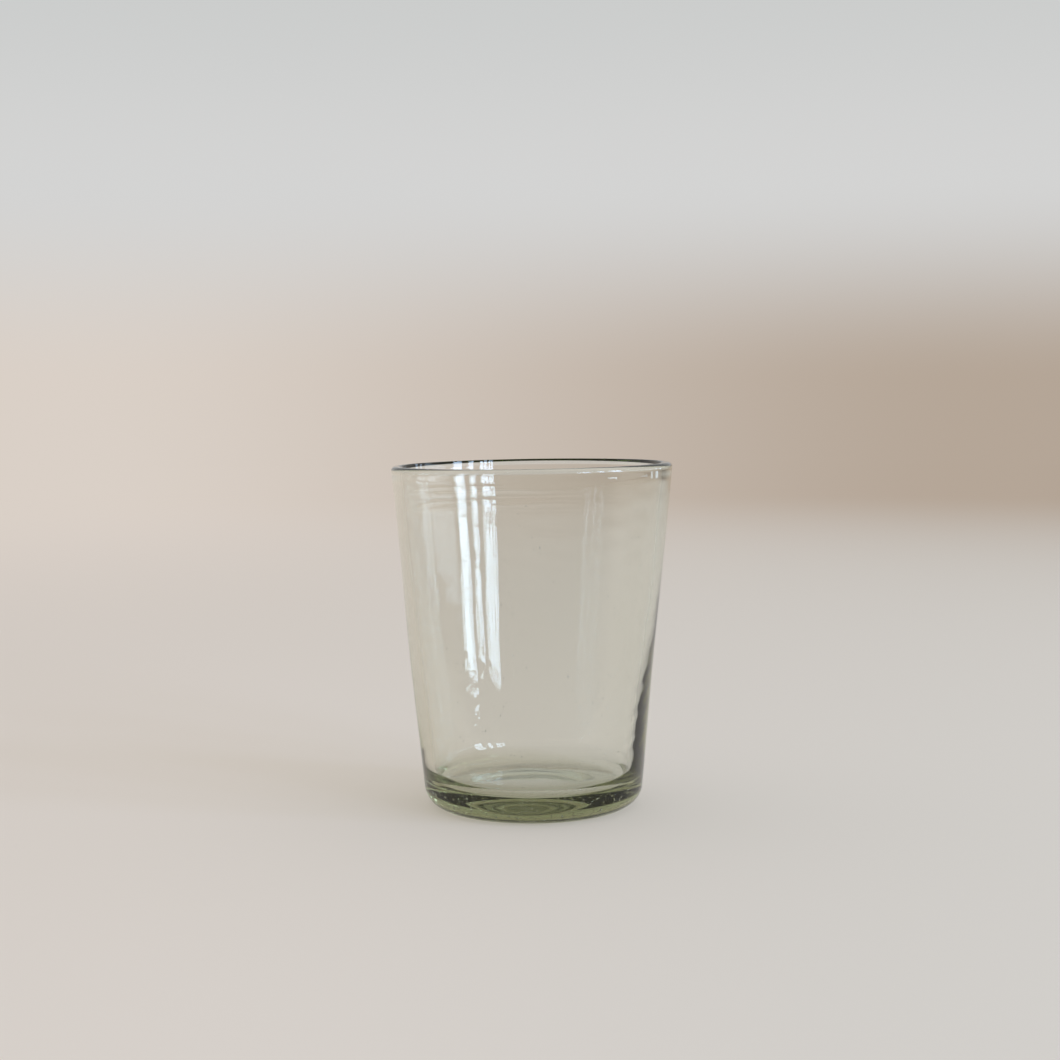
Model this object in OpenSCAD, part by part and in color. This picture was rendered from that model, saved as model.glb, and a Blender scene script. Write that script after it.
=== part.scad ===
// Hand-blown rocks glass: a tapered tumbler with a heavy, pushed-up base.
// It stands on its resting ring at z = 0, centred on the z axis.

/* [Outside] */
// Height from the table to the top of the rim
glass_h = 103; // [85:0.5:130]
// Outer diameter across the rim
rim_d = 84; // [76:0.5:100]
// Outer diameter across the top of the rounded heel
heel_d = 66; // [56:0.5:74]
// Rounding of the heel, between the wall and the resting ring
heel_r = 6.5; // [3:0.25:8]

/* [Wall] */
// Thickness of the wall where it meets the rim
wall_top_t = 3; // [2:0.05:4]
// Thickness of the wall where it meets the base
wall_low_t = 3.4; // [2.4:0.05:5]

/* [Rim] */
// Height of the fire-polished rim above the wall
rim_h = 5; // [4:0.25:10]
// Rounding of the lip towards the outside
lip_outer_r = 1.9; // [0.6:0.05:1.95]
// Rounding of the lip towards the drink
lip_inner_r = 0.85; // [0.4:0.05:0.85]

/* [Base] */
// Height of the cup's floor above the table
floor_h = 7.8; // [7:0.1:14]
// Rounding between the floor and the wall inside the cup
floor_fillet_r = 5.8; // [2:0.2:9]
// Height of plain wall that belongs to the base, above the inside rounding
base_collar_h = 4; // [2:0.25:10]
// Width of the flat ring that the glass rests on
ring_w = 7; // [3:0.25:9]
// Height of the hollow pushed up into the underside
kick_h = 4.6; // [3:0.1:6]
// Rounding where the hollow runs out into the resting ring
kick_edge_r = 8; // [6:0.5:20]

/* [Pontil mark] */
// Diameter of the scar left by the pontil rod
pontil_d = 16; // [10:0.5:20]
// How far the scar stands down from its seat in the hollow
pontil_h = 0.8; // [0.6:0.1:2]
// Diameter of the chipped dip in the middle of the scar
dip_d = 7; // [3:0.5:9]
// Depth of the dip below its edge
dip_h = 0.3; // [0.1:0.05:0.45]

/* [Hidden] */
$fn = 144;
// Facets of the scar's caps, which are shallow pieces of large balls
cap_fn = 720;

// The share of the top wall thickness that each lip rounding may take at most
lip_outer_share = 0.65;
lip_inner_share = 0.29;
lip_out = min(lip_outer_r, lip_outer_share * wall_top_t);
lip_in = min(lip_inner_r, lip_inner_share * wall_top_t);

// Centres of the outer roundings, and the angle of the straight wall that is tangent to both
heel_c = [heel_d / 2 - heel_r, heel_r];
lip_out_c = [rim_d / 2 - lip_out, glass_h - lip_out];
wall_run = lip_out_c - heel_c;
outer_lean = acos((heel_r - lip_out) / norm(wall_run)) - atan2(wall_run.y, wall_run.x);

// Heights at which the base ends and the rim begins
base_h = floor_h + floor_fillet_r + base_collar_h;
rim_z = glass_h - rim_h;

// Outer and inner radius of the wall at a height z
heel_top = heel_c + polar(heel_r, -outer_lean);
function outer_r(z) = heel_top.x + (z - heel_top.y) * tan(outer_lean);
inner_low_r = outer_r(base_h) - wall_low_t;
inner_top_r = outer_r(rim_z) - wall_top_t;
inner_lean = atan2(inner_top_r - inner_low_r, rim_z - base_h);
function inner_r(z) = inner_low_r + (z - base_h) * tan(inner_lean);

// Centres of the roundings on the side of the drink
fillet_c = [inner_r(floor_h + floor_fillet_r) - floor_fillet_r / cos(inner_lean), floor_h + floor_fillet_r];
lip_in_c = [inner_r(glass_h - lip_in) + lip_in / cos(inner_lean), glass_h - lip_in];

// The hollow: a dome on the axis that turns over into the resting ring, and the seat in its roof
kick_r = heel_c.x - ring_w;
dome_r = (kick_r * kick_r + kick_h * kick_h) / (2 * kick_h) - kick_edge_r;
dome_c = [0, kick_h - dome_r];
edge_c = [kick_r, kick_edge_r];
edge_rise = atan2(edge_c.y - dome_c.y, edge_c.x);
dome_end = dome_c + polar(dome_r, edge_rise);
pontil_r = pontil_d / 2;
seat_z = dome_c.y + sqrt(dome_r * dome_r - pontil_r * pontil_r);

// Radii of the two shallow caps that shape the scar
scar_cap_r = cap_radius(pontil_r, pontil_h);
dip_cap_r = cap_radius(dip_d / 2, dip_h);

// A size that reaches past any part of the glass
reach = glass_h + rim_d;

// A point at distance r and angle a
function polar(r, a) = [r * cos(a), r * sin(a)];

// Radius of the ball whose cap has the half-width w and the height h
function cap_radius(w, h) = (w * w + h * h) / (2 * h);

// Half of a disc on the axis with centre height z and radius r, on the side where x is positive
module half_disc(z, r) {
    intersection() {
        translate([0, z]) circle(r);
        translate([0, -reach]) square([reach, 2 * reach]);
    }
}

// The air pushed up under the base, with a flat seat for the scar in its roof
module kick_hollow() {
    intersection() {
        half_disc(dome_c.y, dome_r);
        translate([0, dome_c.y]) square([dome_end.x, seat_z - dome_c.y]);
    }
    difference() {
        translate([0, dome_c.y]) square([kick_r, dome_end.y - dome_c.y]);
        translate(edge_c) circle(kick_edge_r);
    }
}

// The lower end of the cup, open upwards
module cup_hollow() {
    polygon([
        [0, floor_h], [fillet_c.x, floor_h], fillet_c, fillet_c + polar(floor_fillet_r, -inner_lean),
        [inner_r(reach), reach], [0, reach]]);
    translate(fillet_c) circle(floor_fillet_r);
}

module base_profile() {
    difference() {
        union() {
            polygon([
                [0, 0], [heel_c.x, 0], [heel_c.x, heel_top.y], heel_top,
                [outer_r(base_h), base_h], [0, base_h]]);
            intersection() {
                translate(heel_c) circle(heel_r);
                square([reach, heel_r]);
            }
        }
        cup_hollow();
        kick_hollow();
    }
}

module wall_profile() {
    polygon([
        [inner_r(base_h), base_h], [outer_r(base_h), base_h],
        [outer_r(rim_z), rim_z], [inner_r(rim_z), rim_z]]);
}

module rim_profile() {
    lip_middle = (lip_in_c.x + lip_out_c.x) / 2;
    out_low = lip_out_c + polar(lip_out, -outer_lean);
    in_low = lip_in_c + polar(lip_in, 180 - inner_lean);
    polygon([
        [inner_r(rim_z), rim_z], [outer_r(rim_z), rim_z],
        out_low, [lip_out_c.x, out_low.y], [lip_out_c.x, glass_h],
        [lip_in_c.x, glass_h], [lip_in_c.x, in_low.y], in_low]);
    intersection() {
        translate(lip_out_c) circle(lip_out);
        translate([lip_middle, 0]) square(reach);
    }
    intersection() {
        translate(lip_in_c) circle(lip_in);
        square([lip_middle, reach]);
    }
}

module pontil_profile() {
    scar_low = seat_z - pontil_h;
    dip_edge = scar_low + scar_cap_r - sqrt(scar_cap_r * scar_cap_r - dip_d * dip_d / 4);
    difference() {
        intersection() {
            half_disc(scar_low + scar_cap_r, scar_cap_r, $fn = cap_fn);
            translate([0, scar_low]) square([reach, pontil_h]);
        }
        half_disc(dip_edge + dip_h - dip_cap_r, dip_cap_r, $fn = cap_fn);
    }
}

// Fire-polished lip, rounded more on the outside than towards the drink
module rim() {
    color([0.80, 0.83, 0.77]) rotate_extrude() rim_profile();
}

// Blown wall, thinner towards the rim
module wall() {
    color([0.78, 0.80, 0.75]) rotate_extrude() wall_profile();
}

// Heavy bottom with a rounded heel, a resting ring and a pushed-up hollow
module base() {
    color([0.52, 0.56, 0.38]) rotate_extrude() base_profile();
}

// Rough scar of the pontil rod's glass, clear of the table in the roof of the hollow
module pontil_mark() {
    color([0.60, 0.64, 0.48]) rotate_extrude() pontil_profile();
}

rim();
wall();
base();
pontil_mark();
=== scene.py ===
import math

import bmesh
import bpy
import numpy as np
from mathutils import Matrix, Vector


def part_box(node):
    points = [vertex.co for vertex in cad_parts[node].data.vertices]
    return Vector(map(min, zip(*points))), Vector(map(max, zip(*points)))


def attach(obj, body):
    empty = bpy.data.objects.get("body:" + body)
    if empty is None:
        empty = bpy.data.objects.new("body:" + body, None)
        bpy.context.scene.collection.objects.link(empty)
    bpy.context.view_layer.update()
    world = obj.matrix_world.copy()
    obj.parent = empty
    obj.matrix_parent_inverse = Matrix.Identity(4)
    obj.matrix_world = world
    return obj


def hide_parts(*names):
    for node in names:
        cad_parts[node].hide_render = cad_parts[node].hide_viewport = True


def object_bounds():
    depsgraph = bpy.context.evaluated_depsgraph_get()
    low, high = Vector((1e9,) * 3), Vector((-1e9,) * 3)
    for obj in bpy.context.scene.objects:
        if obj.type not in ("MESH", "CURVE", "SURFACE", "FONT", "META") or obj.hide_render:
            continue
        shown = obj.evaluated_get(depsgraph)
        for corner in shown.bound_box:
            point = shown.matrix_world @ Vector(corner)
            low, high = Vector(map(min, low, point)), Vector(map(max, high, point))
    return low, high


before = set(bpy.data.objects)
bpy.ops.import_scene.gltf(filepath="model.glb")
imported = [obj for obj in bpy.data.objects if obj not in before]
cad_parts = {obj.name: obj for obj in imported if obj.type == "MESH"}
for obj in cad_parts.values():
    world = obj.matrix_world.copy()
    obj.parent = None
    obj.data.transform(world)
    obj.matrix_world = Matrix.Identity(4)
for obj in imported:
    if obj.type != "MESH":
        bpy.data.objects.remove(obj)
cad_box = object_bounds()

scene = bpy.context.scene
MM = 0.001
SAME = 0.02 * MM


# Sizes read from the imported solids, in metres
def corners(name):
    """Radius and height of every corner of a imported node."""
    points = np.array([vertex.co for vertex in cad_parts[name].data.vertices])
    return np.hypot(points[:, 0], points[:, 1]), points[:, 2]


def radii_at(name, height):
    """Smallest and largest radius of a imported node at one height."""
    radius, z = corners(name)
    there = radius[np.abs(z - height) < SAME]
    return there.min(), there.max()


RIM_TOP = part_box("rim")[1].z
WALL_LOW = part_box("wall")[0].z
WALL_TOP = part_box("wall")[1].z
INNER_LOW, OUTER_LOW = radii_at("wall", WALL_LOW)
INNER_TOP, OUTER_TOP = radii_at("wall", WALL_TOP)
LIP_IN, LIP_OUT = radii_at("rim", RIM_TOP)
RING_IN, RING_OUT = radii_at("base", 0)
SEAT_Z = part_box("pontil_mark")[1].z
SCAR_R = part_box("pontil_mark")[1].x
base_radius, base_height = corners("base")
in_cup = (base_radius < INNER_LOW - SAME) & (base_height > SEAT_Z + SAME)
FLOOR_H = base_height[in_cup].min()
FLOOR_R = base_radius[in_cup & (base_height < FLOOR_H + SAME)].max()
in_hollow = (base_radius < RING_IN - SAME) & (base_height < SEAT_Z - SAME)
ROOF_Z = base_height[in_hollow].max()
ROOF_R = base_radius[in_hollow & (base_height > ROOF_Z - SAME)].max()
OUTER_LEAN = math.atan2(OUTER_TOP - OUTER_LOW, WALL_TOP - WALL_LOW)
INNER_LEAN = math.atan2(INNER_TOP - INNER_LOW, WALL_TOP - WALL_LOW)

# Roundings that are tangent to the walls, worked out from where they end
out_tan, out_cos, out_sin = math.tan(OUTER_LEAN), math.cos(OUTER_LEAN), math.sin(OUTER_LEAN)
in_tan, in_cos, in_sin = math.tan(INNER_LEAN), math.cos(INNER_LEAN), math.sin(INNER_LEAN)
RIM_H = RIM_TOP - WALL_TOP
HEEL_R = (OUTER_LOW - RING_OUT - WALL_LOW * out_tan) * out_cos / (1 - out_sin)
FILLET_R = (INNER_LOW - FLOOR_R + (FLOOR_H - WALL_LOW) * in_tan) * in_cos / (1 - in_sin)
LIP_OUT_R = (OUTER_TOP + RIM_H * out_tan - LIP_OUT) * out_cos / (1 + out_sin)
LIP_IN_R = (LIP_IN - INNER_TOP - RIM_H * in_tan) * in_cos / (1 - in_sin)

# The hollow under the base: a dome through two corners of its roof, rounded over into the ring
DOME_Z = (SCAR_R ** 2 + SEAT_Z ** 2 - ROOF_R ** 2 - ROOF_Z ** 2) / (2 * (SEAT_Z - ROOF_Z))
DOME_R = math.hypot(SCAR_R, SEAT_Z - DOME_Z)
KICK_EDGE_R = (RING_IN ** 2 + DOME_Z ** 2 - DOME_R ** 2) / (2 * (DOME_R + DOME_Z))
EDGE_RISE = math.degrees(math.atan2(KICK_EDGE_R - DOME_Z, RING_IN))
DOME_END = DOME_R * math.cos(math.radians(EDGE_RISE))

# What the maker's hand left: a bow of the axis, a rim that isn't level, an off-centre hollow
BOW = 0.17 * MM
BOW_PEAK = 88 * MM
BOW_LENGTH = 86 * MM
BOW_START = 0.05
RIM_TILT = 0.010
RIM_TILT_BACK = 0.004
TILT_POWER = 3
RIM_MEAN = RIM_TOP - math.hypot(RIM_TILT, RIM_TILT_BACK) * LIP_OUT
KICK_SHIFT = -1.4 * MM

# How far the worn-down scar hangs from the roof of the hollow, and how rough the hollow is
SCAR_DROP = 0.1 * MM
HOLLOW_ROUGH = 0.12

# The uneven lip: its crest lies further in at the back, and at the front it has a soft bead inside
CREST_BACK = -0.38 * MM
CREST_FRONT = 0.3 * MM
BACK_START = -0.15
BACK_FADE = 0.5
BEAD_D = 0.18 * MM
BEAD_Z = RIM_TOP - 1.4 * MM
BEAD_W = 1.5 * MM

# How finely the skin of the glass is divided, round it and along each stretch of its outline
SEGMENTS = 272
POINTS = {
    "roof": 40, "edge": 14, "ring": 5, "heel": 18, "outside": 84,
    "lip_out": 26, "lip_in": 18, "inside": 80, "fillet": 18, "floor": 24,
}


def arc(centre, radius, start, end, count):
    """Points on an arc in the half-plane of radius and height, between two angles in degrees."""
    angle = np.radians(np.linspace(start, end, count))
    return np.column_stack([centre[0] + radius * np.cos(angle), centre[1] + radius * np.sin(angle)])


def straight(start, end, count):
    """Points on a straight line, both ends included."""
    share = np.linspace(0, 1, count)[:, None]
    return np.array(start) * (1 - share) + np.array(end) * share


def smooth(share):
    """A smooth step from 0 to 1."""
    share = np.clip(share, 0, 1)
    return share * share * (3 - 2 * share)


# A stretch's share in a surface, at its start and at its end
NONE, ALL, COMES, GOES = (0, 0), (1, 1), (0, 1), (1, 0)
LIP_SHARE = 0.3


def glass_profile(crest):
    """The outline from the middle of the underside, round the outside and the lip, to the cup's floor.

    The lip's crest is moved outwards by a length. Each stretch also says how much it belongs to each
    surface: underside, outside, inside and floor.
    """
    out_deg, in_deg = math.degrees(OUTER_LEAN), math.degrees(INNER_LEAN)
    out_r = LIP_OUT_R - crest * out_cos / (1 + out_sin)
    in_r = LIP_IN_R + crest * in_cos / (1 - in_sin)
    roof = arc((0, DOME_Z), DOME_R, 90, EDGE_RISE, POINTS["roof"])
    roof[:, 1] -= SCAR_DROP * np.clip(1 - (roof[:, 0] / SCAR_R) ** 2, 0, 1) ** 2
    edge = arc((RING_IN, KICK_EDGE_R), KICK_EDGE_R, 180 + EDGE_RISE, 270, POINTS["edge"])
    ring = straight((RING_IN, 0), (RING_OUT, 0), POINTS["ring"])
    heel = arc((RING_OUT, HEEL_R), HEEL_R, -90, -out_deg, POINTS["heel"])
    lip_out = arc((LIP_OUT + crest, RIM_TOP - out_r), out_r, -out_deg, 90, POINTS["lip_out"])
    lip_in = arc((LIP_IN + crest, RIM_TOP - in_r), in_r, 90, 180 - in_deg, POINTS["lip_in"])
    fillet = arc((FLOOR_R, FLOOR_H + FILLET_R), FILLET_R, -in_deg, -90, POINTS["fillet"])
    outside = straight(heel[-1], lip_out[0], POINTS["outside"])
    inside = straight(lip_in[-1], fillet[0], POINTS["inside"])
    floor = straight((FLOOR_R, FLOOR_H), (0, FLOOR_H), POINTS["floor"])
    stretches = [
        (roof, ALL, NONE, NONE, NONE),
        (edge, GOES, NONE, NONE, NONE),
        (ring, NONE, NONE, NONE, NONE),
        (heel, NONE, COMES, NONE, NONE),
        (outside, NONE, ALL, NONE, NONE),
        (lip_out, NONE, (1, LIP_SHARE), (0, 1 - LIP_SHARE), NONE),
        (lip_in, NONE, (LIP_SHARE, 0), (1 - LIP_SHARE, 1), NONE),
        (inside, NONE, NONE, ALL, NONE),
        (fillet, NONE, NONE, GOES, COMES),
        (floor, NONE, NONE, NONE, ALL),
    ]
    points, belongs = [], []
    for stretch, *ends in stretches:
        share = smooth(np.linspace(0, 1, len(stretch)))
        shares = [start * (1 - share) + end * share for start, end in ends]
        first = 0 if not points else 1
        points.append(stretch[first:])
        belongs.append(np.column_stack(shares)[first:])
    return np.vstack(points), np.vstack(belongs)


def wall_waves(seed, count, turns, lengths, size):
    """Waves round a wall: whole turns round the axis, lengths up it, and a height whose rms is size."""
    draw = np.random.default_rng(seed)
    number = draw.integers(turns[0], turns[1] + 1, count)
    rate = draw.choice([-1, 1], count) * 2 * math.pi / draw.uniform(*lengths, count)
    phase = draw.uniform(0, 2 * math.pi, count)

    def height(angle, z):
        total = sum(np.cos(n * angle + k * z + p) for n, k, p in zip(number, rate, phase))
        return size * math.sqrt(2 / count) * total

    return height


def flat_waves(seed, count, lengths, size):
    """Waves across a level surface, with a height whose rms is size."""
    draw = np.random.default_rng(seed)
    heading = draw.uniform(0, 2 * math.pi, count)
    rate = 2 * math.pi / draw.uniform(*lengths, count)
    phase = draw.uniform(0, 2 * math.pi, count)

    def height(x, y):
        across = [k * (x * math.cos(h) + y * math.sin(h)) + p for k, h, p in zip(rate, heading, phase)]
        return size * math.sqrt(2 / count) * sum(np.cos(a) for a in across)

    return height


# Low waves of each surface, from long to short
OUTSIDE = [
    wall_waves(seed=11, count=6, turns=(2, 4), lengths=(90 * MM, 200 * MM), size=0.03 * MM),
    wall_waves(seed=12, count=24, turns=(6, 16), lengths=(20 * MM, 60 * MM), size=0.004 * MM),
    wall_waves(seed=13, count=24, turns=(0, 14), lengths=(5 * MM, 9 * MM), size=0.003 * MM),
]
INSIDE = [
    wall_waves(seed=21, count=6, turns=(2, 4), lengths=(90 * MM, 200 * MM), size=0.03 * MM),
    wall_waves(seed=22, count=24, turns=(8, 20), lengths=(14 * MM, 50 * MM), size=0.005 * MM),
    wall_waves(seed=23, count=24, turns=(0, 12), lengths=(5 * MM, 10 * MM), size=0.0045 * MM),
]
FLOOR = [
    flat_waves(seed=31, count=10, lengths=(14 * MM, 30 * MM), size=0.02 * MM),
    flat_waves(seed=32, count=16, lengths=(4 * MM, 9 * MM), size=0.004 * MM),
]
UNDER = [flat_waves(seed=41, count=10, lengths=(12 * MM, 24 * MM), size=0.04 * MM)]

# Shallow rings at the back left, where the reheated rim begins: the whole wall bends outwards
BENDS = (94.2 * MM, 89.6 * MM)
BEND_W = 1.4 * MM
BEND_D = 0.28 * MM
BEND_AT = math.radians(120)
BEND_END = 0.5
BEND_FADE = 0.4


def bend(angle, z):
    """How far the wall stands out in these rings, which run out on both sides."""
    reach = smooth((np.cos(angle - BEND_AT) - BEND_END) / BEND_FADE)
    return BEND_D * reach * sum(np.exp(-((z - height) / BEND_W) ** 2) for height in BENDS)


# Low on the right the wall runs from thin at the front to thick at the back, with a ragged inside
RUN_D = 0.6 * MM
RUN_AT = math.radians(-15)
RUN_WIDTH = 0.5
RUN_Z = 24 * MM
RUN_L = 20 * MM
ragged = wall_waves(seed=24, count=24, turns=(4, 30), lengths=(2.5 * MM, 7 * MM), size=0.018 * MM)


def low_wall(angle, z):
    """How much the lower wall stands into the cup where it runs."""
    away = (np.mod(angle - RUN_AT + math.pi, 2 * math.pi) - math.pi) / RUN_WIDTH
    high = np.exp(-((z - RUN_Z) / RUN_L) ** 2)
    run = RUN_D * away * np.exp(0.5 - away ** 2 / 2)
    return run * high + ragged(angle, z) * np.exp(-away ** 2 / 2) * high


def glass_points():
    """Corners of the glass as rings along the outline, and the roughness at each of them."""
    points, belongs = glass_profile(0)
    under, outside, inside, floor = (belongs[:, i:i + 1] for i in range(4))
    run = np.gradient(points, axis=0)
    run /= np.linalg.norm(run, axis=1)[:, None]
    normal = np.column_stack([run[:, 1], -run[:, 0]])
    angle = np.arange(SEGMENTS) * 2 * math.pi / SEGMENTS
    at_back = smooth((np.sin(angle) - BACK_START) / BACK_FADE)
    front, back = (glass_profile(crest)[0] for crest in (CREST_FRONT, CREST_BACK))
    radius, z = (front[:, i:i + 1] * (1 - at_back) + back[:, i:i + 1] * at_back for i in (0, 1))
    x, y = radius * np.cos(angle), radius * np.sin(angle)
    bead = BEAD_D * np.exp(-((z - BEAD_Z) / BEAD_W) ** 2) * (1 - at_back)
    lift = outside * (sum(w(angle, z) for w in OUTSIDE) + bend(angle, z))
    lift = lift + inside * (sum(w(angle, z) for w in INSIDE) - bend(angle, z) + low_wall(angle, z))
    lift = lift + floor * sum(w(x, y) for w in FLOOR)
    lift = lift + under * sum(w(x, y) for w in UNDER)
    radius = np.maximum(radius + lift * normal[:, :1] - bead * inside, 0)
    z = z + lift * normal[:, 1:]
    x, y = radius * np.cos(angle), radius * np.sin(angle)
    share = z / RIM_TOP
    shift = BOW * np.cos(2 * math.pi * (z - BOW_PEAK) / BOW_LENGTH) * smooth(share / BOW_START)
    tilt = (RIM_TILT * x - RIM_TILT_BACK * y) * share ** TILT_POWER
    tilted = z * (RIM_MEAN / RIM_TOP) ** share + tilt
    placed = np.stack([x + shift + KICK_SHIFT * under, y, tilted], axis=-1)
    return placed, np.broadcast_to(HOLLOW_ROUGH * under, z.shape)


def keep_inside(points):
    """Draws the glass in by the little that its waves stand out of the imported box."""
    low, high = (np.array(corner) for corner in cad_box)
    flat = points.reshape(-1, 3)
    for axis in range(3):
        over = max(flat[:, axis].max() / high[axis], 1)
        if low[axis] < 0:
            over = max(over, flat[:, axis].min() / low[axis])
        flat[:, axis] /= over
    flat[:, 2] = np.maximum(flat[:, 2], 0)
    return flat.reshape(points.shape)


# Seeds: small bubbles caught in the glass, as closed hollows inside it
SEED_DRAW = 7
SEED_COUNT_BASE = 550
SEED_COUNT_WALL = 260
SEED_CLEAR = 0.3 * MM
SEED_IN_WALL = 0.9 * MM
SEED_UNDER_RIM = 3 * MM
SEED_PAST_RING = 5 * MM
BASE_SEED_LEAST = 0.12 * MM
BASE_SEED_MORE = 0.2 * MM
BASE_SEED_STRETCH = (0.8, 1.2)
WALL_SEED_SIZES = (0.06 * MM, 0.15 * MM)
WALL_SEED_STRETCH = (1.0, 2.6)


def hollow_roof(radius):
    """Height of the hollow's roof at a radius, on the side where it reaches further out."""
    inward = max(radius - abs(KICK_SHIFT), 0)
    if inward < DOME_END:
        return DOME_Z + math.sqrt(DOME_R ** 2 - inward ** 2)
    across = max(RING_IN - inward, 0)
    return KICK_EDGE_R - math.sqrt(KICK_EDGE_R ** 2 - across ** 2)


def heel_height(radius):
    """Height of the underside of the heel at a radius."""
    across = max(radius - RING_OUT, 0)
    return HEEL_R - math.sqrt(HEEL_R ** 2 - across ** 2)


def seed_places():
    """Centre and half-sizes of each bubble: round ones in the base, and drawn-out ones in the wall."""
    draw = np.random.default_rng(SEED_DRAW)
    places = []
    while len(places) < SEED_COUNT_BASE:
        radius = (RING_OUT + SEED_PAST_RING) * math.sqrt(draw.uniform())
        size = BASE_SEED_LEAST + BASE_SEED_MORE * draw.uniform() ** 2
        z = draw.uniform(0, FLOOR_H)
        low = max(hollow_roof(radius), heel_height(radius) + SEED_CLEAR)
        if not low + size + SEED_CLEAR < z < FLOOR_H - size - SEED_CLEAR:
            continue
        angle = draw.uniform(0, 2 * math.pi)
        places.append((radius, angle, z, size, draw.uniform(*BASE_SEED_STRETCH)))
    while len(places) < SEED_COUNT_BASE + SEED_COUNT_WALL:
        z = draw.uniform(FLOOR_H + FILLET_R, WALL_TOP - SEED_UNDER_RIM)
        inner = INNER_LOW + (z - WALL_LOW) * in_tan
        outer = OUTER_LOW + (z - WALL_LOW) * out_tan
        radius = draw.uniform(inner + SEED_IN_WALL, outer - SEED_IN_WALL)
        size = draw.uniform(*WALL_SEED_SIZES)
        angle = draw.uniform(0, 2 * math.pi)
        places.append((radius, angle, z, size, draw.uniform(*WALL_SEED_STRETCH)))
    for radius, angle, z, size, stretch in places:
        centre = np.array([radius * math.cos(angle), radius * math.sin(angle), z])
        yield centre, np.array([size, size, size * stretch])


def ball():
    """Corners and faces of a round bubble of radius 1, its faces turned inwards."""
    shape = bmesh.new()
    bmesh.ops.create_icosphere(shape, subdivisions=1, radius=1)
    points = np.array([vertex.co for vertex in shape.verts])
    faces = [[vertex.index for vertex in reversed(face.verts)] for face in shape.faces]
    shape.free()
    return points, faces


def skin_faces(ring_starts):
    """Faces between rings, each given by its first corner and whether it is that corner alone."""
    faces = []
    steps = [(k, (k + 1) % SEGMENTS) for k in range(SEGMENTS)]
    for (low, low_single), (high, high_single) in zip(ring_starts, ring_starts[1:]):
        if low_single:
            faces += [(low, high + after, high + k) for k, after in steps]
        elif high_single:
            faces += [(low + k, low + after, high) for k, after in steps]
        else:
            faces += [(low + k, low + after, high + after, high + k) for k, after in steps]
    return faces


def build_glass():
    """One closed skin of glass, with the seeds as hollows in it."""
    rings, rough = glass_points()
    rings = keep_inside(rings)
    points, values, ring_starts, count = [], [], [], 0
    for ring, value in zip(rings, rough):
        single = np.ptp(ring[:, :2], axis=0).max() < SAME
        ring_starts.append((count, single))
        points.append(ring[:1] if single else ring)
        values.append(value[:1] if single else value)
        count += len(points[-1])
    faces = skin_faces(ring_starts)
    ball_points, ball_faces = ball()
    for centre, size in seed_places():
        points.append(centre + ball_points * size)
        values.append(np.zeros(len(ball_points)))
        faces += [[corner + count for corner in face] for face in ball_faces]
        count += len(ball_points)
    mesh = bpy.data.meshes.new("glass_body")
    mesh.from_pydata(np.vstack(points), [], faces)
    roughness = mesh.attributes.new("rough", "FLOAT", "POINT")
    roughness.data.foreach_set("value", np.concatenate(values).astype(np.float32))
    mesh.polygons.foreach_set("use_smooth", [True] * len(mesh.polygons))
    mesh.update()
    glass = bpy.data.objects.new("glass_body", mesh)
    scene.collection.objects.link(glass)
    return glass


# Shader nodes
def node(tree, kind, **values):
    """A new shader node with some of its inputs set."""
    made = tree.nodes.new(kind)
    for name, value in values.items():
        made.inputs[name.replace("_", " ")].default_value = value
    return made


def math_node(tree, operation, first, second):
    """A Math node fed by sockets or plain numbers."""
    made = tree.nodes.new("ShaderNodeMath")
    made.operation = operation
    for socket, value in zip(made.inputs, (first, second)):
        if isinstance(value, (int, float)):
            socket.default_value = value
        else:
            tree.links.new(value, socket)
    return made.outputs[0]


def split(tree, vector):
    """The three outputs x, y and z of a vector."""
    parts = tree.nodes.new("ShaderNodeSeparateXYZ")
    tree.links.new(vector, parts.inputs[0])
    return parts.outputs


def stretched_noise(tree, place, stretch, scale, detail):
    """Noise over a place, stretched along its axes."""
    mapping = node(tree, "ShaderNodeMapping", Scale=stretch)
    noise = node(tree, "ShaderNodeTexNoise", Scale=scale, Detail=detail)
    tree.links.new(place, mapping.inputs["Vector"])
    tree.links.new(mapping.outputs[0], noise.inputs["Vector"])
    return noise.outputs["Fac"]


def ease(tree, socket, start, end, low, high):
    """A number that goes smoothly from low to high while the socket goes from start to end."""
    made = node(tree, "ShaderNodeMapRange", From_Min=start, From_Max=end, To_Min=low, To_Max=high)
    made.interpolation_type = "SMOOTHSTEP"
    tree.links.new(socket, made.inputs["Value"])
    return made.outputs[0]


def blend(tree, kind, share, first, second):
    """A mix of two colours, each a socket or a plain colour."""
    made = tree.nodes.new("ShaderNodeMix")
    made.data_type = "RGBA"
    made.blend_type = kind
    inputs = [socket for socket in made.inputs if socket.type == "RGBA"]
    for socket, value in zip([made.inputs[0], *inputs], (share, first, second)):
        if isinstance(value, (int, float, tuple)):
            socket.default_value = value
        else:
            tree.links.new(value, socket)
    return next(socket for socket in made.outputs if socket.type == "RGBA")


def mix_shaders(tree, share, first, second=None):
    """A mix of two shaders; without a second one it goes over into black."""
    made = tree.nodes.new("ShaderNodeMixShader")
    tree.links.new(share, made.inputs[0])
    tree.links.new(first, made.inputs[1])
    if second:
        tree.links.new(second, made.inputs[2])
    return made.outputs[0]


def ramp(tree, socket, stops):
    """A colour ramp over a number from -1 to 1."""
    spread = node(tree, "ShaderNodeMapRange", From_Min=-1.0, From_Max=1.0)
    tree.links.new(socket, spread.inputs["Value"])
    made = tree.nodes.new("ShaderNodeValToRGB")
    made.color_ramp.interpolation = "EASE"
    elements = made.color_ramp.elements
    while len(elements) < len(stops):
        elements.new(0.5)
    for element, (place, colour) in zip(elements, stops):
        element.position = (place + 1) / 2
        element.color = colour
    tree.links.new(spread.outputs[0], made.inputs[0])
    return made.outputs[0]


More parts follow.
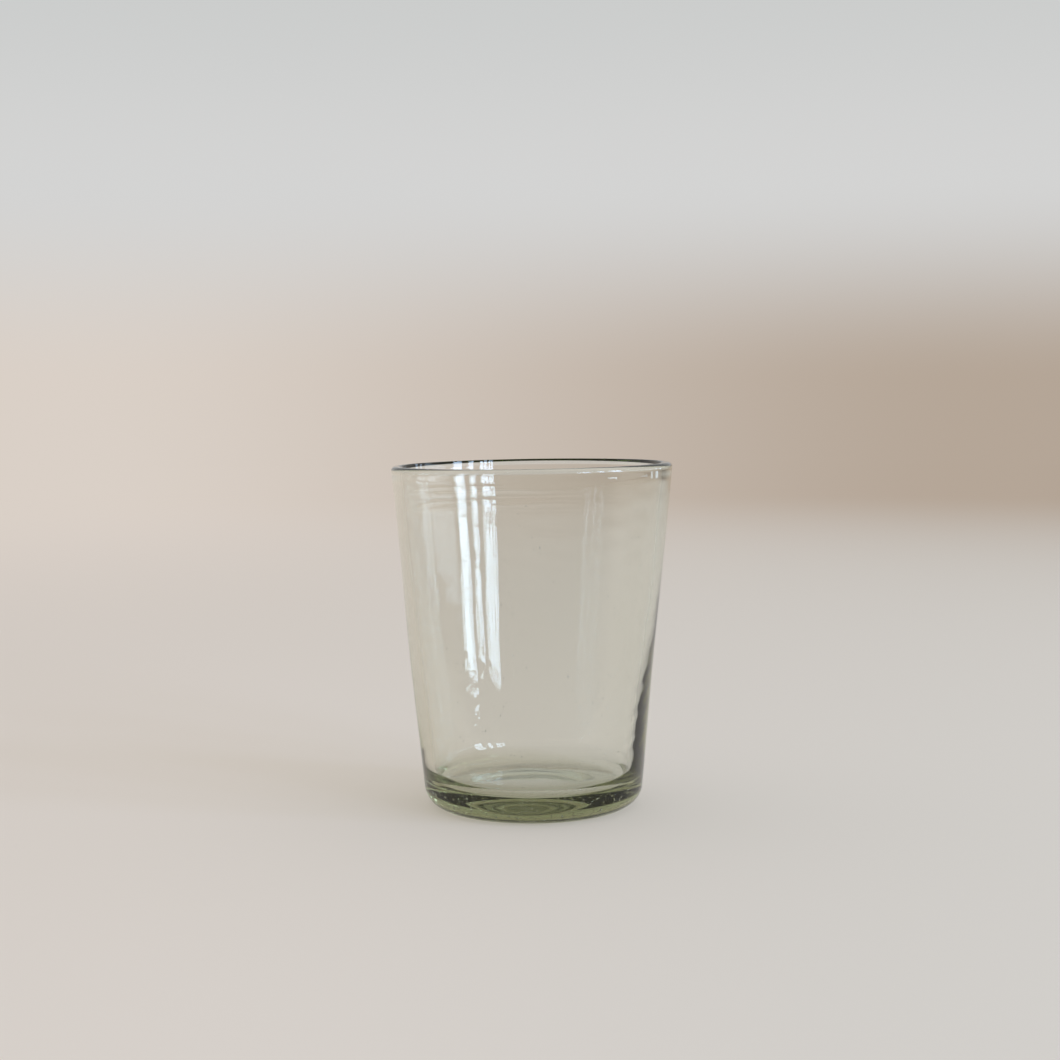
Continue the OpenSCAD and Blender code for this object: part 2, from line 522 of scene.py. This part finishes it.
def picture_ray(tree, path):
    """1 for rays from the camera, also after a reflection or through glass."""
    seen = math_node(tree, "MAXIMUM", path.outputs["Is Camera Ray"], path.outputs["Is Glossy Ray"])
    return math_node(tree, "MAXIMUM", seen, path.outputs["Is Transmission Ray"])


def straight_ray(tree, path):
    """1 for rays that went through glass and weren't reflected on the way."""
    mirrored = math_node(tree, "MINIMUM", path.outputs["Glossy Depth"], 1)
    unmirrored = math_node(tree, "SUBTRACT", 1, mirrored)
    return math_node(tree, "MULTIPLY", path.outputs["Is Transmission Ray"], unmirrored)


# The glass: its index, its tint, and what it takes from light that falls through it onto the floor
WHITE = (1, 1, 1, 1)
BLACK = (0, 0, 0, 1)
GLASS_IOR = 1.5
GLASS_TINT = (0.4875, 0.5125, 0.23, 1)
GLASS_DENSITY = 40
SHADE = (0.80, 0.80, 0.76, 1)

# Fine relief of the walls: how each kind is stretched along x, y and z, its scale and its height in mm
CORDS = ((1, 1, 0.03), 600, 0.003)
RIPPLES = ((0.3, 0.3, 1), 900, 0.003)
PEEL = ((1, 1, 1), 300, 0.0015)
RELIEF = (CORDS, RIPPLES, PEEL)
RELIEF_DETAIL = 2
RELIEF_LOW = 12 * MM
RELIEF_FADE = 5 * MM

# Faint smudges on the surface
SMUDGE_STRETCH = (1, 1, 0.6)
SMUDGE_SCALE = 45
SMUDGE_DETAIL = 4
SMUDGE_START = 0.45
SMUDGE_ROUGH = 0.06


def wall_relief(tree, place):
    """The relief as a normal: cords, chill ripples and peel, fading out at the base and the rim."""
    height = split(tree, place)["Z"]
    above = ease(tree, height, RELIEF_LOW, RELIEF_LOW + RELIEF_FADE, 0, 1)
    below = ease(tree, height, WALL_TOP - RELIEF_FADE, WALL_TOP, 1, 0)
    relief = 0
    for stretch, scale, size in RELIEF:
        noise = stretched_noise(tree, place, stretch, scale, RELIEF_DETAIL)
        relief = math_node(tree, "ADD", relief, math_node(tree, "MULTIPLY", noise, size))
    relief = math_node(tree, "MULTIPLY", relief, math_node(tree, "MULTIPLY", above, below))
    bump = node(tree, "ShaderNodeBump", Strength=1.0, Distance=MM)
    tree.links.new(relief, bump.inputs["Height"])
    return bump.outputs[0]


def surface_roughness(tree, place):
    """The roughness of the hollow, with the smudges added."""
    smudge = stretched_noise(tree, place, SMUDGE_STRETCH, SMUDGE_SCALE, SMUDGE_DETAIL)
    film = math_node(tree, "MULTIPLY", math_node(tree, "SUBTRACT", smudge, SMUDGE_START), SMUDGE_ROUGH)
    film = math_node(tree, "MAXIMUM", film, 0.0)
    underside = tree.nodes.new("ShaderNodeAttribute")
    underside.attribute_name = "rough"
    return math_node(tree, "ADD", film, underside.outputs["Fac"])


def glass_material():
    """Clear olive glass that lets the light of the lamps through to the floor."""
    material = bpy.data.materials.new("blown_glass")
    material.use_nodes = True
    tree = material.node_tree
    place = tree.nodes.new("ShaderNodeTexCoord").outputs["Object"]
    shader = tree.nodes["Principled BSDF"]
    shader.inputs["Base Color"].default_value = WHITE
    shader.inputs["Transmission Weight"].default_value = 1
    shader.inputs["IOR"].default_value = GLASS_IOR
    tree.links.new(wall_relief(tree, place), shader.inputs["Normal"])
    tree.links.new(surface_roughness(tree, place), shader.inputs["Roughness"])
    tint = node(tree, "ShaderNodeVolumeAbsorption", Color=GLASS_TINT, Density=GLASS_DENSITY)
    clear = node(tree, "ShaderNodeBsdfTransparent", Color=SHADE)
    path = tree.nodes.new("ShaderNodeLightPath")
    through = math_node(tree, "MAXIMUM", path.outputs["Is Shadow Ray"], path.outputs["Is Diffuse Ray"])
    output = tree.nodes["Material Output"]
    surface = mix_shaders(tree, through, shader.outputs[0], clear.outputs[0])
    tree.links.new(surface, output.inputs["Surface"])
    tree.links.new(tint.outputs[0], output.inputs["Volume"])
    return material


# Tones of the plain stage: a pale floor that runs out into a pale room, darker to the right; in the
# floor's glow the left is painted light and the right is painted shade
PAPER = (0.97, 0.86, 0.75, 1)
# Painted light and painted shade: near the glass the floor's glow is lighter at the left and darker at
# the right
NEAR_LEFT_PAINTED_LIGHT = (0.82, 0.73, 0.68, 1)
NEAR_RIGHT_PAINTED_SHADE = (0.62, 0.60, 0.575, 1)
LEFT_TONE = (0.70, 0.63, 0.57, 1)
# Painted shade on the floor's glow to the right; the room's right side is darker too
RIGHT_SHADED_TONE = (0.46, 0.38, 0.31, 1)
DARK_SHADED_TONE = (0.21, 0.18, 0.145, 1)
HIGH_TONE = (0.655, 0.655, 0.65, 1)
TOP_TONE = (0.60, 0.61, 0.605, 1)
DIM_TONE = (0.35, 0.35, 0.35, 1)

# Where those tones lie: from left to right, and in the room also upwards and from front to back
NEAR_STOPS = ((-0.3, NEAR_LEFT_PAINTED_LIGHT), (0.3, NEAR_RIGHT_PAINTED_SHADE))
SIDE_STOPS = (
    (-1.0, LEFT_TONE), (-0.26, LEFT_TONE), (0.26, RIGHT_SHADED_TONE), (0.6, DARK_SHADED_TONE), (1.0, DARK_SHADED_TONE),
)
HIGH_START = 0.11
HIGH_STOPS = ((HIGH_START, HIGH_TONE), (0.22, TOP_TONE))
FRONT_STOPS = ((-0.35, DIM_TONE), (0.1, WHITE))
LIT_STOPS = ((0.02, WHITE), (0.07, BLACK), (0.55, BLACK), (0.85, WHITE))

# The floor: how it fades into the room, and painted shade that makes it darker in reflections towards
# the front, in metres
PAPER_ROUGH = 0.9
STAGE_EDGES = 96
STAGE_RADIUS = 2.4
STAGE_GAP = 0.05 * MM
NEAR_REACH = 0.3
FAR_REACH = 1.6
GLOW_NEAR = 0.3
VIEW_DISTANCE = 0.54
# Painted shade: how much darker the floor looks in reflections at the front
FRONT_PAINTED_SHADE = 0.35
FRONT_START = -0.06
FRONT_END = -0.25


def floor_glow(tree, place, along):
    """The floor's glowing tone as it is seen, with painted light at the left and painted shade at the
    right, and how much of it shows at each distance from the glass.
    """
    length = tree.nodes.new("ShaderNodeVectorMath")
    length.operation = "LENGTH"
    tree.links.new(place, length.inputs[0])
    distance = length.outputs["Value"]
    from_view = math_node(tree, "ADD", along["Y"], VIEW_DISTANCE)
    from_glass = math_node(tree, "MULTIPLY", along["Y"], -1)
    depth = math_node(tree, "MAXIMUM", from_view, from_glass)
    bearing = math_node(tree, "DIVIDE", along["X"], depth)
    # Painted light at the left and painted shade at the right of the floor's glow
    near, side = ramp(tree, bearing, NEAR_STOPS), ramp(tree, bearing, SIDE_STOPS)
    far = ease(tree, distance, NEAR_REACH, FAR_REACH, 0, 1)
    glow = tree.nodes.new("ShaderNodeEmission")
    tree.links.new(blend(tree, "MIX", far, near, side), glow.inputs["Color"])
    return glow.outputs[0], ease(tree, distance, NEAR_REACH, FAR_REACH, GLOW_NEAR, 1)


def floor_material():
    """Pale paper that keeps the shadow near the glass and fades into the room, with painted light and
    shade in its glow and painted shade towards the front in reflections.
    """
    material = bpy.data.materials.new("pale_paper")
    material.use_nodes = True
    tree = material.node_tree
    place = tree.nodes.new("ShaderNodeTexCoord").outputs["Object"]
    path = tree.nodes.new("ShaderNodeLightPath")
    along = split(tree, place)
    shader = tree.nodes["Principled BSDF"]
    shader.inputs["Base Color"].default_value = PAPER
    shader.inputs["Roughness"].default_value = PAPER_ROUGH
    glow, strength = floor_glow(tree, place, along)
    share = math_node(tree, "MULTIPLY", picture_ray(tree, path), strength)
    surface = mix_shaders(tree, share, shader.outputs[0], glow)
    # Painted shade on the floor in reflections, darker towards the front
    front = ease(tree, along["Y"], FRONT_END, FRONT_START, 1 - FRONT_PAINTED_SHADE, 0)
    mirrored = math_node(tree, "SUBTRACT", path.outputs["Is Glossy Ray"], straight_ray(tree, path))
    surface = mix_shaders(tree, math_node(tree, "MULTIPLY", front, mirrored), surface)
    tree.links.new(surface, tree.nodes["Material Output"].inputs["Surface"])
    return material


def build_floor():
    """A pale disc a hair's breadth under the glass."""
    bpy.ops.mesh.primitive_circle_add(
        vertices=STAGE_EDGES, radius=STAGE_RADIUS, fill_type="NGON", location=(0, 0, -STAGE_GAP))
    floor = bpy.context.object
    floor.name = "floor"
    floor.data.materials.append(floor_material())


def build_room():
    """A pale room, dimmer behind the camera for light that isn't seen straight or through the glass."""
    world = bpy.data.worlds.new("room")
    scene.world = world
    world.use_nodes = True
    tree = world.node_tree
    along = split(tree, tree.nodes.new("ShaderNodeTexCoord").outputs["Generated"])
    path = tree.nodes.new("ShaderNodeLightPath")
    side = ramp(tree, along["X"], SIDE_STOPS)
    high = ramp(tree, along["Z"], HIGH_STOPS)
    tone = blend(tree, "MIX", ease(tree, along["Z"], 0.0, HIGH_START, 0, 1), side, high)
    front = ramp(tree, along["Y"], FRONT_STOPS)
    unmirrored = math_node(tree, "SUBTRACT", 1, path.outputs["Is Glossy Ray"])
    lit = math_node(tree, "MULTIPLY", ramp(tree, along["Z"], LIT_STOPS), unmirrored)
    seen = math_node(tree, "MAXIMUM", path.outputs["Is Camera Ray"], straight_ray(tree, path))
    level = blend(tree, "MIX", math_node(tree, "MAXIMUM", lit, seen), front, WHITE)
    colour = blend(tree, "MULTIPLY", 1, tone, level)
    tree.links.new(colour, tree.nodes["Background"].inputs["Color"])


# Soft light from the panes of a tall window at the right, all angles in degrees
PANE_DISTANCE = 1.6
PANE_COLOUR = (0.58, 0.76, 1.0)
PANE_LEVEL = 13.0
SHEEN_LEVEL = 1.8
SLIT_LEVEL = 3.0
LIGHT_AIM = Vector((0, 0, 0.05))

# Each column of panes: its azimuths, where its panes begin and end upwards, and its level
SIDE_PANES = ((1.3, 7.5), (8.0, 8.3), (8.7, 18))
TALL_PANES = ((1.3, 7.1), (7.4, 7.6), (7.95, 28))
COLUMNS = (
    ((36, 37.8), SIDE_PANES, PANE_LEVEL),
    ((38.4, 40), SIDE_PANES, PANE_LEVEL),
    ((41.3, 44.2), TALL_PANES, PANE_LEVEL),
    ((44.9, 48), TALL_PANES, PANE_LEVEL),
    ((55, 60), ((0.8, 4.3), (4.75, 7.0), (7.4, 28)), PANE_LEVEL),
    ((67, 77), ((-1.0, 6.8), (7.25, 7.7), (7.95, 28)), PANE_LEVEL),
    ((82, 114), ((0.5, 9),), SHEEN_LEVEL),
    ((118, 121), ((-1.2, 9),), SLIT_LEVEL),
    ((125, 129), ((-1.2, 9),), SLIT_LEVEL),
)


def build_pane(name, azimuths, rise, level):
    """One pane as an area light, its azimuths measured from the camera's side towards +X."""
    start, end = (math.radians(azimuth) for azimuth in azimuths)
    bearing = (start + end) / 2
    low, high = (PANE_DISTANCE * math.tan(math.radians(angle)) for angle in rise)
    light = bpy.data.lights.new(name, "AREA")
    light.shape = "RECTANGLE"
    light.size = PANE_DISTANCE * (end - start)
    light.size_y = high - low
    light.energy = level * light.size * light.size_y * math.pi
    light.color = PANE_COLOUR
    lamp = bpy.data.objects.new(name, light)
    side, back = PANE_DISTANCE * math.sin(bearing), PANE_DISTANCE * math.cos(bearing)
    lamp.location = (side, -back, (low + high) / 2 + LIGHT_AIM.z)
    lamp.rotation_euler = (LIGHT_AIM - lamp.location).to_track_quat("-Z", "Y").to_euler()
    lamp.visible_camera = False
    scene.collection.objects.link(lamp)


def build_window():
    """All the panes, column by column."""
    for column, (azimuths, rises, level) in enumerate(COLUMNS):
        for row, rise in enumerate(rises):
            build_pane(f"pane_{column + 1}_{row + 1}", azimuths, rise, level)


# The camera at the photograph's viewing angle
CAMERA_PLACE = (-0.45 * MM, -538.9 * MM, 125.4 * MM)
CAMERA_PITCH = 0.0792
CAMERA_ROLL = 0.0067
CAMERA_NEAR = 10 * MM
FOCAL_PIXELS = 1806.8
PICTURE_PIXELS = 1060
SENSOR_MM = 36


def build_camera():
    """The camera, its pitch and roll in radians."""
    camera = bpy.data.cameras.new("camera")
    camera.sensor_width = SENSOR_MM
    camera.lens = FOCAL_PIXELS / PICTURE_PIXELS * SENSOR_MM
    camera.clip_start = CAMERA_NEAR
    viewer = bpy.data.objects.new("camera", camera)
    turn = Matrix.Rotation(math.pi / 2 - CAMERA_PITCH, 4, "X") @ Matrix.Rotation(-CAMERA_ROLL, 4, "Z")
    viewer.matrix_world = Matrix.Translation(CAMERA_PLACE) @ turn
    scene.collection.objects.link(viewer)
    scene.camera = viewer


# How often light may turn inside the thick base
GLASS_BOUNCES = 24

glass = build_glass()
glass.data.materials.append(glass_material())
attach(glass, "root")
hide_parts("rim", "wall", "base", "pontil_mark")
build_floor()
build_room()
build_window()
build_camera()
scene.view_settings.view_transform = "Standard"
scene.cycles.max_bounces = GLASS_BOUNCES
scene.cycles.transmission_bounces = GLASS_BOUNCES
scene.cycles.glossy_bounces = GLASS_BOUNCES
